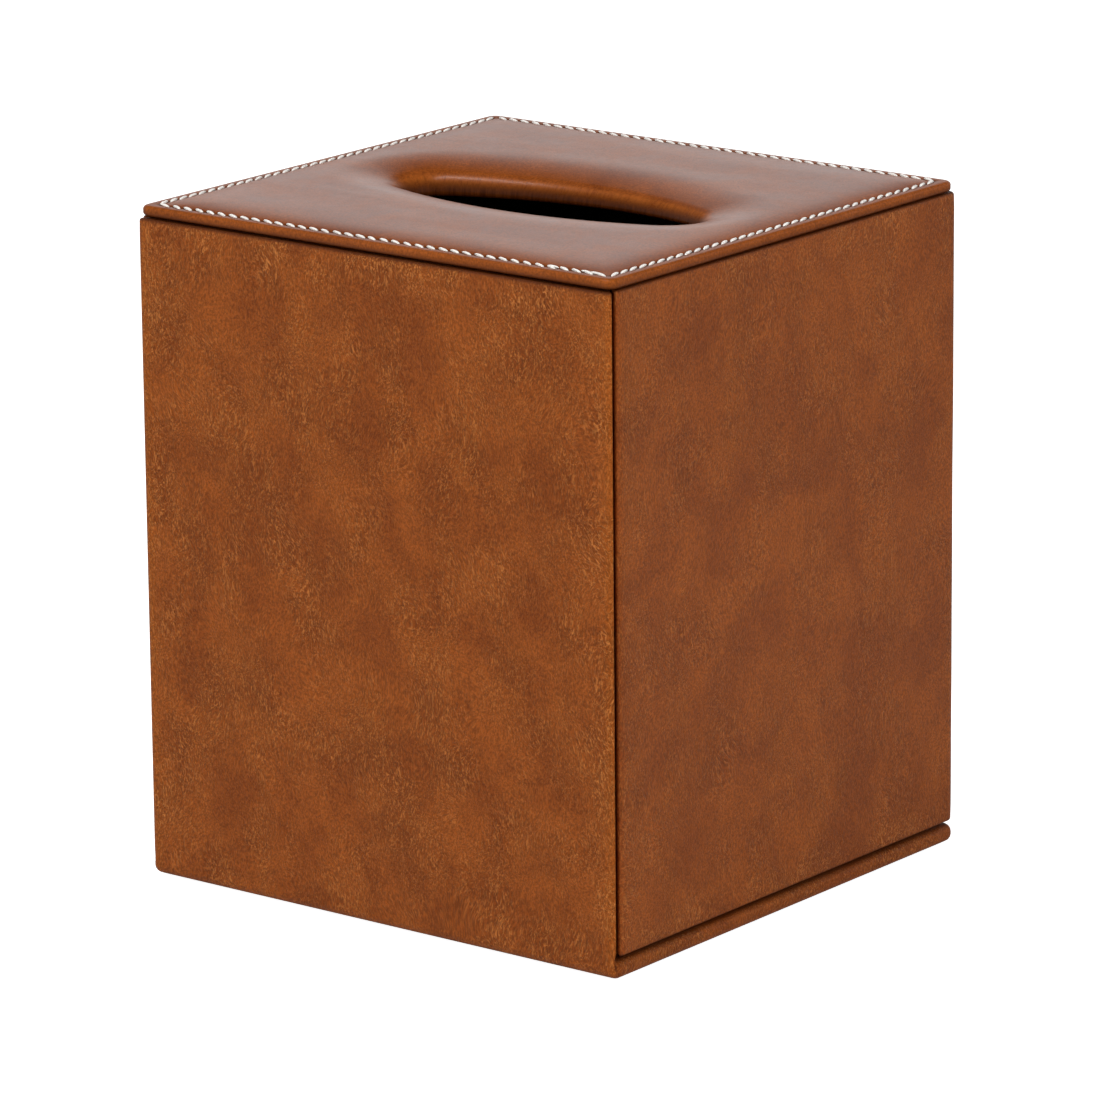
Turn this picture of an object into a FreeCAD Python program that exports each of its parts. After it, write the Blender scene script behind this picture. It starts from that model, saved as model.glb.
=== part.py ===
import FreeCAD, Part
import os
from math import sqrt
from FreeCAD import Vector

# Cube tissue box with a pull-out drawer, for an upright box of tissues.
# The shell is three mitred boards under a padded lid with an oval slot. The drawer is
# an L: a full-height front on a base plate, with a low tray that hangs on two runners.
# Boards are wrapped in leather, the edges are turned in as hems, and linings cover them.
# Frame: millimetres, origin on the table under the middle, front at -Y, +Z up.

# ---- overall ----
width = 130.0               # across the front, over the leather
depth = 125.0               # front to back, over the leather
height = 152.5              # table to the rim of the lid

# ---- sheet goods ----
board = 3.0                 # walls, drawer front and base
lid_board_thickness = 1.8
leather = 0.6
lining = 1.0                # velour on card, measured from the board it is glued to
felt = 0.8                  # under the base
hem = 12.0                  # leather turned in behind an edge

# ---- running gaps ----
base_gap = 0.6              # base plate to the bottom of the walls
front_top_gap = 0.5         # drawer front to the lid
mitre_gap = 0.4             # between the two mitred faces at a front corner
side_gap = 0.4              # tray side to the wall lining
back_gap = 0.5              # tray back to the back lining
catch_gap = 0.4             # magnet block to the drawer front's lining
runner_gap = 0.3            # runner to its groove, all round
overshoot = 1.0             # how far a cut or a search reaches past what it is meant for
near = 1e-6                 # lengths this close count as equal

# ---- rounded leather edges ----
edge_round = 1.1            # top and bottom edges of the walls, top of the front
front_tip_round = 0.7       # mitred edges of the drawer front
front_top_round = 0.65      # top edge of the drawer front, outside
wall_tip_round = 1.1        # mitred edges of the side walls
back_corner_round = 2.0     # upright corners at the back
plate_corner_round = 2.0    # base plate, seen from above
plate_edge_round = 1.4

# ---- lid ----
lid_inset = 0.8             # lid edge inside the walls' faces
lid_corner_round = 2.5
lid_edge_round = 1.2        # top edge of the rim
lid_edge_chamfer = 0.9      # bottom edge of the rim
pad_margin = 4.5            # flat border outside the padding
pad_slope = 12.0            # width of the padding's sloping edge
pad_crown = 1.0             # padding above the rim
step_board_thickness = 2.7  # second board, let down between the walls
step_gap = 0.2              # step board to the linings of the walls
step_front_gap = 0.5        # step board to the drawer front's lining
slot_half_length = 41.2     # oval slot at its throat
slot_half_width = 14.2
slot_end_radius = 8.0       # radius of its two ends
slot_roll = 5.6             # radius of the rolled leather lip
slot_hem = 8.0
lid_board_margin = 12.0     # lid board's hole outside the throat, filled with padding
step_board_margin = 2.6     # step board's hole outside the throat

# ---- tray, runners and catch ----
tray_height = 24.0
tray_board = 3.6            # tray sides
tray_back_board = 3.0
tray_edge_round = 1.0       # top edges of the tray
runner_height = 3.0
runner_bite = 1.3           # how far a runner reaches into its groove
runner_edge_round = 0.4
runner_lift = 12.0          # runner's middle above the base plate
runner_setback = 4.5        # runner's front end behind the drawer front's lining
lining_setback = 2.0        # linings end short of an open edge
block_width = 10.0
block_depth = 8.0
block_height = 10.0
magnet_width = 6.0          # square bar magnets
magnet_length = 4.0
strike_width = 8.0          # square steel plates that they pull on
felt_margin = 4.0
panel_foot = 2.0            # front's mitred edge stops this far up the base plate

# ---- levels and faces that follow from them ----
half_w = width / 2
half_d = depth / 2
skinned = leather + board + leather         # a board with leather on both faces
lined = leather + board + lining            # outer leather to the lining's face
board_face = leather + board                # outer leather to the board's inner face
lid_rim = leather + lid_board_thickness + leather
plate_top = felt + skinned
wall_bottom = plate_top + base_gap
lid_bottom = height - lid_rim
front_top = lid_bottom - front_top_gap
step_top = lid_bottom + leather
step_bottom = step_top - step_board_thickness
lip_bottom = step_bottom - leather
lid_lining_bottom = step_bottom - lining
floor_top = plate_top - leather + lining
inner_x = half_w - lined                    # face of the side linings
inner_back = half_d - lined                 # face of the back lining
inner_front = -half_d + lined               # face of the drawer front's lining
tray_x = inner_x - side_gap                 # outer face of the tray sides
tray_back = inner_back - back_gap
runner_middle = plate_top + runner_lift
runner_front = inner_front + runner_setback
step_x = inner_x - step_gap
step_front = inner_front + step_front_gap
step_back = inner_back - step_gap


# ---- small helpers ----
def box(x0, x1, y0, y1, z0, z1):
    return Part.makeBox(x1 - x0, y1 - y0, z1 - z0, Vector(x0, y0, z0))


def prism(plan, z0, z1):
    corners = [Vector(x, y, z0) for x, y in plan]
    face = Part.Face(Part.makePolygon(corners + corners[:1]))
    return face.extrude(Vector(0, 0, z1 - z0))


def mirrored(shape):
    return shape.mirror(Vector(0, 0, 0), Vector(1, 0, 0))


def is_upright(edge):
    a, b = edge.Vertexes[0].Point, edge.Vertexes[-1].Point
    return abs(a.x - b.x) < near and abs(a.y - b.y) < near and abs(a.z - b.z) > near


def edges_where(shape, test):
    return [e for e in shape.Edges if test(e)]


def lies_at(edge, z):
    return all(abs(v.Z - z) < near for v in edge.Vertexes)


def middle(edge):
    return edge.valueAt((edge.FirstParameter + edge.LastParameter) / 2)


def rounded(shape, radius, test):
    """The shape with the edges that pass the test rounded."""
    return shape.makeFillet(radius, edges_where(shape, test))


def oval_wire(grow, z):
    """The slot's oval, larger by grow all round: two end arcs and two long side arcs."""
    end_x = slot_half_length - slot_end_radius
    side_radius = (end_x ** 2 + slot_half_width ** 2 - slot_end_radius ** 2)
    side_radius = side_radius / (2 * (slot_half_width - slot_end_radius))
    side_y = side_radius - slot_half_width
    reach = (side_radius + grow) / (side_radius - slot_end_radius)
    x, y = end_x * reach, side_y * (reach - 1)
    half_x, half_y = slot_half_length + grow, slot_half_width + grow
    right = Part.Arc(Vector(x, -y, z), Vector(half_x, 0, z), Vector(x, y, z))
    back = Part.Arc(Vector(x, y, z), Vector(0, half_y, z), Vector(-x, y, z))
    left = Part.Arc(Vector(-x, y, z), Vector(-half_x, 0, z), Vector(-x, -y, z))
    front = Part.Arc(Vector(-x, -y, z), Vector(0, -half_y, z), Vector(x, -y, z))
    return Part.Wire([arc.toShape() for arc in (right, back, left, front)])


def oval_prism(grow, z0, z1):
    return Part.Face(oval_wire(grow, z0)).extrude(Vector(0, 0, z1 - z0))


def oval_funnel(grow, radius, z):
    """What takes the edge off a slot whose top is at z: two bevels that touch an arc of that radius."""
    corner = radius * (1 - sqrt(0.5))
    rings = [oval_wire(grow, z - radius), oval_wire(grow + corner, z - corner), oval_wire(grow + radius, z)]
    return Part.makeLoft(rings, True, True)


def crowned(half, slope, base, crown, along):
    """A crowned bar: a flat top that curves down to the base over the slope at each side."""
    radius = (slope ** 2 + crown ** 2) / (2 * crown)
    mid_x = half - slope / 2
    mid_z = base + crown - radius + sqrt(radius ** 2 - (slope / 2) ** 2)
    foot, top = Vector(half, 0, base), Vector(half - slope, 0, base + crown)
    right = Part.Arc(foot, Vector(mid_x, 0, mid_z), top).toShape()
    left = right.mirror(Vector(0, 0, 0), Vector(1, 0, 0))
    flat = Part.makeLine(Vector(slope - half, 0, base + crown), top)
    floor = Part.makeLine(Vector(-half, 0, base), foot)
    outline = Part.Wire(Part.sortEdges([right, left, flat, floor])[0])
    bar = Part.Face(outline).extrude(Vector(0, 2 * along, 0))
    bar.translate(Vector(0, -along, 0))
    return bar


# ---- walls ----
def wall_plan(inset):
    """The three walls as one U seen from above, with mitred front ends."""
    x_out, x_in = half_w - inset, half_w - skinned + inset
    y_out, y_in = half_d - inset, half_d - skinned + inset
    mitre = half_w - half_d + (mitre_gap + inset) * sqrt(2)
    right = [(x_out, mitre - x_out), (x_out, y_out)]
    left = [(-x, y) for x, y in reversed(right)]
    inner_left = [(-x_in, mitre - x_in), (-x_in, y_in)]
    inner_right = [(-x, y) for x, y in reversed(inner_left)]
    return right + left + inner_left + inner_right


def wall_form(inset):
    """The walls as one solid, inset from the outer leather, with its upright edges rounded."""
    form = prism(wall_plan(inset), wall_bottom + inset, lid_bottom - inset)
    x_out, y_out = half_w - inset, half_d - inset

    def outer(edge):
        return is_upright(edge) and abs(abs(edge.Vertexes[0].X) - x_out) < near

    def at_back(edge):
        return outer(edge) and abs(edge.Vertexes[0].Y - y_out) < near

    form = rounded(form, back_corner_round - inset, at_back)
    return rounded(form, wall_tip_round - inset, outer)


def wall_boards():
    """Right, left and back boards, which meet in mitres at the back corners."""
    form = wall_form(leather)
    reach = half_w + half_d
    to_back = half_d - half_w
    wedge = [(-reach, to_back + reach), (reach, to_back + reach), (0, to_back)]
    back_region = prism(wedge, 0, height)
    back = form.common(back_region)
    sides = form.cut(back_region)
    right = sides.common(box(0, width, -depth, depth, 0, height))
    left = sides.common(box(-width, 0, -depth, depth, 0, height))
    return right, left, back


def wall_cover():
    """One strip of leather round the walls, turned in at the top, bottom and front ends."""
    skin = wall_form(0)
    inner_faces = half_w - skinned

    def outer_rim(edge):
        if not (lies_at(edge, wall_bottom) or lies_at(edge, lid_bottom)):
            return False
        at = middle(edge)
        on_side = abs(at.x) < inner_faces + near
        return not (on_side and at.y < half_d - near)

    skin = rounded(skin, edge_round, outer_rim)
    bare = half_w - board_face
    window = box(-bare, bare, -half_d + skinned + hem, half_d - board_face,
                 wall_bottom + hem, lid_bottom - hem)
    return skin.cut(wall_form(leather)).cut(window)


def wall_linings(cover):
    """Right, left and back linings. They lie on the boards and over the hems."""
    low = wall_bottom + lining_setback
    side_front = -half_d + skinned + mitre_gap * sqrt(2) + lining_setback
    right = box(inner_x, half_w - board_face, side_front, inner_back, low, lid_bottom)
    back = box(board_face - half_w, half_w - board_face, inner_back, half_d - board_face,
               low, lid_bottom)
    right = right.cut(cover)
    return right, mirrored(right), back.cut(cover)


# ---- lid ----
def step_slab(z0, z1):
    """A slab as large as the step, which fits down between the walls."""
    return box(-step_x, step_x, step_front, step_back, z0, z1)


def lid_outline(inset):
    """The lid without its slot: rim, raised pad and the step below.
    The leather's own outline has softened edges, and the board inside it has square ones."""
    x, y = half_w - lid_inset - inset, half_d - lid_inset - inset
    z0, z1 = lid_bottom + inset, height - inset
    slab = rounded(box(-x, x, -y, y, z0, z1), lid_corner_round - inset, is_upright)
    if inset == 0:
        slab = rounded(slab, lid_edge_round, lambda e: lies_at(e, z1))
        slab = slab.makeChamfer(lid_edge_chamfer, edges_where(slab, lambda e: lies_at(e, z0)))
    pad_x, pad_y = half_w - lid_inset - pad_margin, half_d - lid_inset - pad_margin
    pad = crowned(pad_x, pad_slope, z1, pad_crown, pad_y)
    across = crowned(pad_y, pad_slope, z1, pad_crown, pad_x)
    across.rotate(Vector(0, 0, 0), Vector(0, 0, 1), 90)
    return slab.fuse(pad.common(across)).fuse(step_slab(lip_bottom + inset, step_top))


def lid_skin():
    """The lid's outer form, with the slot and its rolled lip."""
    top = height + pad_crown
    form = lid_outline(0).cut(oval_prism(0, lip_bottom - 1, top + 1)).removeSplitter()

    def mouth(edge):
        at = middle(edge)
        beside = abs(at.x) < slot_half_length + overshoot and abs(at.y) < slot_half_width + overshoot
        return lies_at(edge, top) and beside

    return rounded(form, slot_roll, mouth)


def lid_core():
    """What the leather is stretched over: boards and padding, one leather's thickness in."""
    top = height + pad_crown - leather
    form = lid_outline(leather).cut(oval_prism(leather, step_bottom - 1, top + 1))
    return form.cut(oval_funnel(leather, slot_roll - leather, top)).removeSplitter()


def lid_parts():
    """Lid board, step board, padding, leather cover and lining of the lid."""
    core = lid_core()
    everywhere = box(-width, width, -depth, depth, step_top, height - leather)
    rim_board = core.common(everywhere).cut(oval_prism(lid_board_margin, 0, 2 * height))
    step_board = step_slab(step_bottom, step_top).cut(oval_prism(step_board_margin, 0, height))
    padding = core.cut(rim_board).cut(step_board)
    bare_underside = step_slab(lip_bottom, step_bottom).cut(oval_prism(slot_hem, 0, height))
    cover = lid_skin().cut(core).cut(bare_underside)
    lining_panel = step_slab(lid_lining_bottom, step_bottom)
    lining_panel = lining_panel.cut(oval_prism(lining_setback, 0, height)).cut(cover)
    return rim_board, step_board, padding, cover, lining_panel


# ---- drawer ----
def front_plan(inset):
    """The drawer front from above: a trapezium whose ends are mitred to the side walls."""
    y_face = -half_d + inset
    y_back = -half_d + skinned - inset
    mitre = half_w - half_d - inset * sqrt(2)
    right = [(mitre - y_face, y_face), (mitre - y_back, y_back)]
    return [(-x, y) for x, y in reversed(right)] + right


def plate_form(inset):
    """The base plate as one solid, inset from the outer leather. Only the leather's edges are rounded."""
    x, y = half_w - inset, half_d - inset
    z0, z1 = felt + inset, plate_top - inset
    plate = rounded(box(-x, x, -y, y, z0, z1), plate_corner_round - inset, is_upright)
    if inset == 0:
        plate = rounded(plate, plate_edge_round, lambda e: lies_at(e, z0) or lies_at(e, z1))
    return plate


def strike_plates():
    """Steel plates that face the magnets, flush with the drawer front's lining."""
    plate = catch_box(strike_width, inner_front - lining, inner_front)
    return [plate, mirrored(plate)]


def drawer_boards():
    front = prism(front_plan(leather), plate_top - leather, front_top - leather)
    return front, plate_form(leather)


def drawer_cover(front, base, strikes):
    """One skin of leather down the front, under the base and up over its other edges."""
    panel = prism(front_plan(0), felt + panel_foot, front_top)
    tip = half_w - near

    def tips(edge):
        return is_upright(edge) and abs(edge.Vertexes[0].X) > tip

    def top_of_face(edge):
        return lies_at(edge, front_top) and middle(edge).y < -half_d + leather

    panel = rounded(panel, front_tip_round, tips)
    panel = rounded(panel, front_top_round, top_of_face)
    skin = plate_form(0).fuse(panel).removeSplitter()
    x_back = half_w - skinned - hem
    behind = box(-x_back, x_back, -half_d + board_face, -half_d + skinned,
                 plate_top - leather, front_top - hem)
    above = box(hem - half_w, half_w - hem, -half_d + board_face, half_d - hem,
                plate_top - leather, plate_top)
    skin = skin.cut(front).cut(base).cut(behind).cut(above)
    for plate in strikes:
        skin = skin.cut(plate)
    return skin


def drawer_linings(cover, strikes):
    """Lining on the back of the drawer front, and the lining of the tray's floor."""
    back = box(-tray_x, tray_x, -half_d + board_face, inner_front, plate_top, front_top - lining_setback)
    for plate in strikes:
        back = back.cut(plate)
    floor_x = tray_x - tray_board
    floor = box(-floor_x, floor_x, -half_d + board_face, tray_back - tray_back_board,
                plate_top - leather, floor_top)
    back = back.cut(cover)
    return back, floor.cut(back).cut(cover)


def runs_along_tray(edge):
    return lies_at(edge, plate_top + tray_height) and edge.Length > tray_height


def tray_side():
    """Right-hand tray side, with the groove that runs on the shell's runner."""
    side = box(tray_x - tray_board, tray_x, inner_front, tray_back, plate_top, plate_top + tray_height)
    side = rounded(side, tray_edge_round, runs_along_tray)
    reach = inner_x - tray_x + 2 * runner_gap
    groove_half = runner_height / 2 + runner_gap
    groove = box(tray_x - runner_bite - runner_gap, tray_x + reach, runner_front - runner_gap,
                 tray_back + overshoot, runner_middle - groove_half, runner_middle + groove_half)
    return side.cut(groove)


def tray_end():
    """Board across the back of the tray."""
    x = tray_x - tray_board
    end = box(-x, x, tray_back - tray_back_board, tray_back, plate_top, plate_top + tray_height)
    return rounded(end, tray_edge_round, runs_along_tray)


def base_felt():
    x, y = half_w - felt_margin, half_d - felt_margin
    return rounded(box(-x, x, -y, y, 0, felt), plate_corner_round, is_upright)


# ---- runners and catch ----
def runner():
    """Right-hand runner, glued to the side lining."""
    strip = box(tray_x - runner_bite, inner_x, runner_front, inner_back,
                runner_middle - runner_height / 2, runner_middle + runner_height / 2)

    def is_free(edge):
        return edge.Length > runner_height and abs(middle(edge).x - inner_x) > near

    return rounded(strip, runner_edge_round, is_free)


def catch_box(size, y0, y1):
    """A square bar from y0 to y1, centred on the right-hand magnet block."""
    x, z, half = inner_x - block_width / 2, lid_lining_bottom - block_height / 2, size / 2
    return box(x - half, x + half, y0, y1, z - half, z + half)


def catch_parts():
    """Right-hand magnet block, glued in the shell's top front corner, and its magnet."""
    y0 = inner_front + catch_gap
    block = box(inner_x - block_width, inner_x, y0, y0 + block_depth,
                lid_lining_bottom - block_height, lid_lining_bottom)
    magnet = catch_box(magnet_width, y0, y0 + magnet_length)
    return block.cut(magnet), magnet


def build():
    right_board, left_board, back_board = wall_boards()
    shell_leather = wall_cover()
    right_lining, left_lining, back_lining = wall_linings(shell_leather)
    rim_board, step_board, padding, lid_leather, lid_panel = lid_parts()
    strikes = strike_plates()
    front_board, base_board = drawer_boards()
    drawer_leather = drawer_cover(front_board, base_board, strikes)
    front_panel, floor_panel = drawer_linings(drawer_leather, strikes)
    side = tray_side()
    strip = runner()
    block, magnet = catch_parts()
    return {
        "lid_board": rim_board,
        "lid_step_board": step_board,
        "lid_padding": padding,
        "lid_cover": lid_leather,
        "lid_lining": lid_panel,
        "right_wall_board": right_board,
        "left_wall_board": left_board,
        "back_wall_board": back_board,
        "wall_cover": shell_leather,
        "right_wall_lining": right_lining,
        "left_wall_lining": left_lining,
        "back_wall_lining": back_lining,
        "right_runner": strip,
        "left_runner": mirrored(strip),
        "right_magnet_block": block,
        "left_magnet_block": mirrored(block),
        "catch_magnets": Part.makeCompound([magnet, mirrored(magnet)]),
        "drawer_front_board": front_board,
        "base_board": base_board,
        "drawer_cover": drawer_leather,
        "drawer_front_lining": front_panel,
        "tray_floor_lining": floor_panel,
        "right_tray_side": side,
        "left_tray_side": mirrored(side),
        "tray_back": tray_end(),
        "strike_plates": Part.makeCompound(strikes),
        "base_felt": base_felt(),
    }


os.makedirs("parts", exist_ok=True)
for name, shape in build().items():
    volume = round(sum(solid.Volume for solid in shape.Solids), 1)
    print(name, "solids", len(shape.Solids), "valid", shape.isValid(), "volume", volume)
    shape.exportStep("parts/" + name + ".step")
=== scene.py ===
import math
import random

import bmesh
import bpy
from mathutils import Matrix, Vector, noise


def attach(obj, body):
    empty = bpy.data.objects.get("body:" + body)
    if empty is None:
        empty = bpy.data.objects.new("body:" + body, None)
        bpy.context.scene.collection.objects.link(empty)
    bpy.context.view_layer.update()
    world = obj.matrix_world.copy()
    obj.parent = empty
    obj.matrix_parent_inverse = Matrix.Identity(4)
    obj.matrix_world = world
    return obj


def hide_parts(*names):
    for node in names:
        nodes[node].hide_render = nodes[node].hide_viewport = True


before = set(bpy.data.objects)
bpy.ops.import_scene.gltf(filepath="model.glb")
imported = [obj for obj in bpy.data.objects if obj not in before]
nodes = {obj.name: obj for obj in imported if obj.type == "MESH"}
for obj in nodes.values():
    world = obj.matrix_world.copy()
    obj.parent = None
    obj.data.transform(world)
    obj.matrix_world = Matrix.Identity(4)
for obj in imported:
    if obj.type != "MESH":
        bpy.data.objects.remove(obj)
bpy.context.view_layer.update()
mm = 0.001
# millimetres within which two places count as one, and by which an outer place passes an inner one
close = {"vertex": 1e-4, "face": 1e-3, "edge": 0.01, "mitre": 0.05, "wall": 1.0}
print("frame loaded:", len(nodes), "nodes")


def fill(tree, node, inputs):
    # gives a node's inputs their values, or links them to other nodes' outputs
    for label, value in inputs.items():
        socket = node.inputs[label]
        if isinstance(value, bpy.types.NodeSocket):
            tree.links.new(value, socket)
        elif socket.type == "RGBA":
            socket.default_value = (*value, 1.0)
        else:
            socket.default_value = value


def addNode(tree, kind, inputs=None, **settings):
    node = tree.nodes.new("ShaderNode" + kind)
    for label, value in settings.items():
        setattr(node, label, value)
    fill(tree, node, inputs or {})
    return node


def mathNode(tree, operation, *values, clamp=False):
    return addNode(tree, "Math", dict(enumerate(values)), operation=operation, use_clamp=clamp).outputs[0]


def plus(tree, first, second):
    return mathNode(tree, "ADD", first, second)


def minus(tree, first, second):
    return mathNode(tree, "SUBTRACT", first, second)


def times(tree, first, second):
    return mathNode(tree, "MULTIPLY", first, second)


def weighted(tree, *parts):
    # the sum of some outputs, each times its weight
    total = times(tree, *parts[0])
    for part in parts[1:]:
        total = plus(tree, total, times(tree, *part))
    return total


def noiseNode(tree, vector, scale, detail, roughness, distortion=0.0):
    inputs = {"Vector": vector, "Scale": scale, "Detail": detail, "Roughness": roughness,
              "Distortion": distortion}
    return addNode(tree, "TexNoise", inputs).outputs["Fac"]


def stretchNode(tree, vector, scale, move=(0, 0, 0)):
    return addNode(tree, "Mapping", {"Vector": vector, "Scale": scale, "Location": move}).outputs[0]


def rangeNode(tree, value, low, high, toLow=0.0, toHigh=1.0, kind="SMOOTHSTEP"):
    inputs = {"Value": value, "From Min": low, "From Max": high, "To Min": toLow, "To Max": toHigh}
    return addNode(tree, "MapRange", inputs, interpolation_type=kind).outputs[0]


def splitNode(tree, vector):
    return addNode(tree, "SeparateXYZ", {0: vector}).outputs


def mixShaders(tree, factor, first, second):
    return addNode(tree, "MixShader", {0: factor, 1: first, 2: second}).outputs[0]


def putMesh(name, bm):
    # turns a bmesh into a smooth object at the origin, its place in its mesh
    bmesh.ops.recalc_face_normals(bm, faces=bm.faces)
    for face in bm.faces:
        face.smooth = True
    mesh = bpy.data.meshes.new(name)
    bm.to_mesh(mesh)
    bm.free()
    piece = bpy.data.objects.new(name, mesh)
    bpy.context.scene.collection.objects.link(piece)
    return piece


view = {
    # metres; the lens and the sensor in millimetres; the angles in degrees
    "azimuth": 38.043, "elevation": 14.784, "roll": -0.538,
    "lens": 227.046, "sensor": 36.0,
    "distance": 1.5253, "clip": (0.05, 20.0),
    "aim": (0.0, 0.0, 0.0658),
    "slide": (-0.001252, 0.006262),  # right and up, in the view plane
}


def makeCamera():
    azimuth, elevation = math.radians(view["azimuth"]), math.radians(view["elevation"])
    flat = math.cos(elevation)
    back = Vector((math.sin(azimuth) * flat, -math.cos(azimuth) * flat, math.sin(elevation)))
    right = Vector((math.cos(azimuth), math.sin(azimuth), 0.0))
    up = back.cross(right)
    turn = Matrix.Rotation(math.radians(view["roll"]), 3, back)
    right, up = turn @ right, turn @ up
    place = Vector(view["aim"]) + back * view["distance"]
    place += right * view["slide"][0] + up * view["slide"][1]
    data = bpy.data.cameras.new("camera")
    data.lens, data.sensor_width = view["lens"], view["sensor"]
    data.clip_start, data.clip_end = view["clip"]
    camera = bpy.data.objects.new("camera", data)
    bpy.context.scene.collection.objects.link(camera)
    camera.matrix_world = Matrix.Translation(place) @ Matrix((right, up, back)).transposed().to_4x4()
    bpy.context.scene.camera = camera


lamps = {
    # across: where the long side runs, if not level; gloss: whether reflections show the lamp
    "key": {"place": (-0.27, -1.09, 0.36), "aim": (0.0, 0.0, 0.07), "across": None,
            "size": (0.9, 0.9), "watts": 4.8, "gloss": False},
    "fill": {"place": (1.15, -0.35, 0.42), "aim": (0.0, 0.0, 0.07), "across": None,
             "size": (0.8, 0.8), "watts": 8.5, "gloss": False},
    "strip": {"place": (-0.150, -0.394, 1.193), "aim": (0.0, 0.0, 0.15), "across": (0.93, -0.14, 0.33),
              "size": (0.84, 0.07), "watts": 7.8, "gloss": True},
}


def makeLamps():
    for name, lamp in lamps.items():
        data = bpy.data.lights.new(name, "AREA")
        data.shape, data.energy = "RECTANGLE", lamp["watts"]
        data.size, data.size_y = lamp["size"]
        light = bpy.data.objects.new(name, data)
        light.visible_glossy = lamp["gloss"]
        bpy.context.scene.collection.objects.link(light)
        toward = (Vector(lamp["place"]) - Vector(lamp["aim"])).normalized()
        across = Vector(lamp["across"]) if lamp["across"] else Vector((0.0, 0.0, 1.0)).cross(toward)
        across = (across - toward * across.dot(toward)).normalized()
        turn = Matrix((across, toward.cross(across), toward)).transposed()
        light.matrix_world = Matrix.Translation(lamp["place"]) @ turn.to_4x4()


sky = {
    "overhead": 0.04, "horizon": 1.14,
    "fade": (0.28, 0.56),  # sine of the elevation where the white gives way
    "light": 0.31,         # what the sky sheds on the object
    "white": (1.0, 1.0, 1.0),
}


def makeSky():
    # plain white for the camera, a white that fades upward for reflections, a faint one for the rest
    world = bpy.data.worlds.new("studio")
    bpy.context.scene.world = world
    world.use_nodes = True
    tree = world.node_tree
    tree.nodes.clear()
    rise = splitNode(tree, addNode(tree, "TexCoord").outputs["Generated"])["Z"]
    mirrored = rangeNode(tree, rise, *sky["fade"], sky["horizon"], sky["overhead"], "LINEAR")
    soft, mirrored, white = [
        addNode(tree, "Background", {"Color": sky["white"], "Strength": strength}).outputs[0]
        for strength in (sky["light"], mirrored, 1.0)]
    rays = addNode(tree, "LightPath").outputs
    shown = mixShaders(tree, rays["Is Glossy Ray"], soft, mirrored)
    shown = mixShaders(tree, rays["Is Camera Ray"], shown, white)
    addNode(tree, "OutputWorld", {0: shown})


floorLook = {
    "size": 6.0, "drop": 0.05,  # metres across, millimetres under the object
    "paint": (0.71, 0.73), "grain": 40.0, "glow": 0.93,
}


def makeFloor():
    bm = bmesh.new()
    bmesh.ops.create_grid(bm, x_segments=2, y_segments=2, size=floorLook["size"] / 2)
    bmesh.ops.translate(bm, verts=bm.verts, vec=(0, 0, -floorLook["drop"] * mm))
    floor = putMesh("floor", bm)
    if floor.data.polygons[0].normal.z < 0:
        floor.data.flip_normals()
    mat = bpy.data.materials.new("paperFloor")
    mat.use_nodes = True
    tree = mat.node_tree
    tree.nodes.clear()
    grain = addNode(tree, "TexNoise", {"Scale": floorLook["grain"]}).outputs["Fac"]
    tone = rangeNode(tree, grain, 0.0, 1.0, *floorLook["paint"], "LINEAR")
    paint = addNode(tree, "BsdfDiffuse", {"Color": tone}).outputs[0]
    seen = addNode(tree, "LightPath").outputs["Is Camera Ray"]
    glow = addNode(tree, "Emission", {"Strength": times(tree, seen, floorLook["glow"])}).outputs[0]
    paper = addNode(tree, "AddShader", {0: paint, 1: glow}).outputs[0]
    clear = addNode(tree, "BsdfTransparent").outputs[0]
    below = addNode(tree, "NewGeometry").outputs["Backfacing"]  # from below the paper isn't seen
    addNode(tree, "OutputMaterial", {0: mixShaders(tree, below, paper, clear)})
    floor.data.materials.append(mat)


bpy.context.scene.view_settings.view_transform = "Standard"
makeCamera()
makeLamps()
makeSky()
makeFloor()
print("camera, lamps and floor are set")


def newGroup(name, outs):
    # a node group that turns a place into some numbers
    group = bpy.data.node_groups.new(name, "ShaderNodeTree")
    group.interface.new_socket("Vector", in_out="INPUT", socket_type="NodeSocketVector")
    for label in outs:
        group.interface.new_socket(label, in_out="OUTPUT", socket_type="NodeSocketFloat")
    return group, group.nodes.new("NodeGroupInput").outputs["Vector"]


def bendNode(tree, vector, scale, reach):
    # shifts the places a texture is read at to and fro, so that its lines wander
    sway = addNode(tree, "TexNoise", {"Vector": vector, "Scale": scale}).outputs["Color"]
    inputs = {0: sway, 1: (reach, reach, reach), 2: vector}
    return addNode(tree, "VectorMath", inputs, operation="MULTIPLY_ADD").outputs[0]


hide = {
    # each noise: scale to the metre, detail, roughness, distortion
    "cloud": (68.0, 3.0, 0.6, 0.5), "soft": (420.0, 2.0, 0.6),
    "sway": 42.0, "swayReach": 0.014,
    "wavy": (1900.0, 1.0, 0.5, 0.6), "wavyStretch": (1.0, 1.0, 0.30), "creaseWidth": 0.075,
    "cluster": (75.0, 2.0, 0.6), "clusterStretch": (1.0, 1.0, 0.6), "clusterMove": (0.03, 0.01, 0.02),
    "clusterRange": (0.38, 0.64, 0.22, 1.0),
    "grain": (2300.0, 2.0, 0.7), "grainStretch": (1.0, 1.0, 0.7),
    # shares in the bump and in the gloss
    "grainHeight": 0.8, "creaseHeight": 0.7, "softHeight": 0.35, "softGloss": 0.4, "cloudGloss": 0.6,
}


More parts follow.
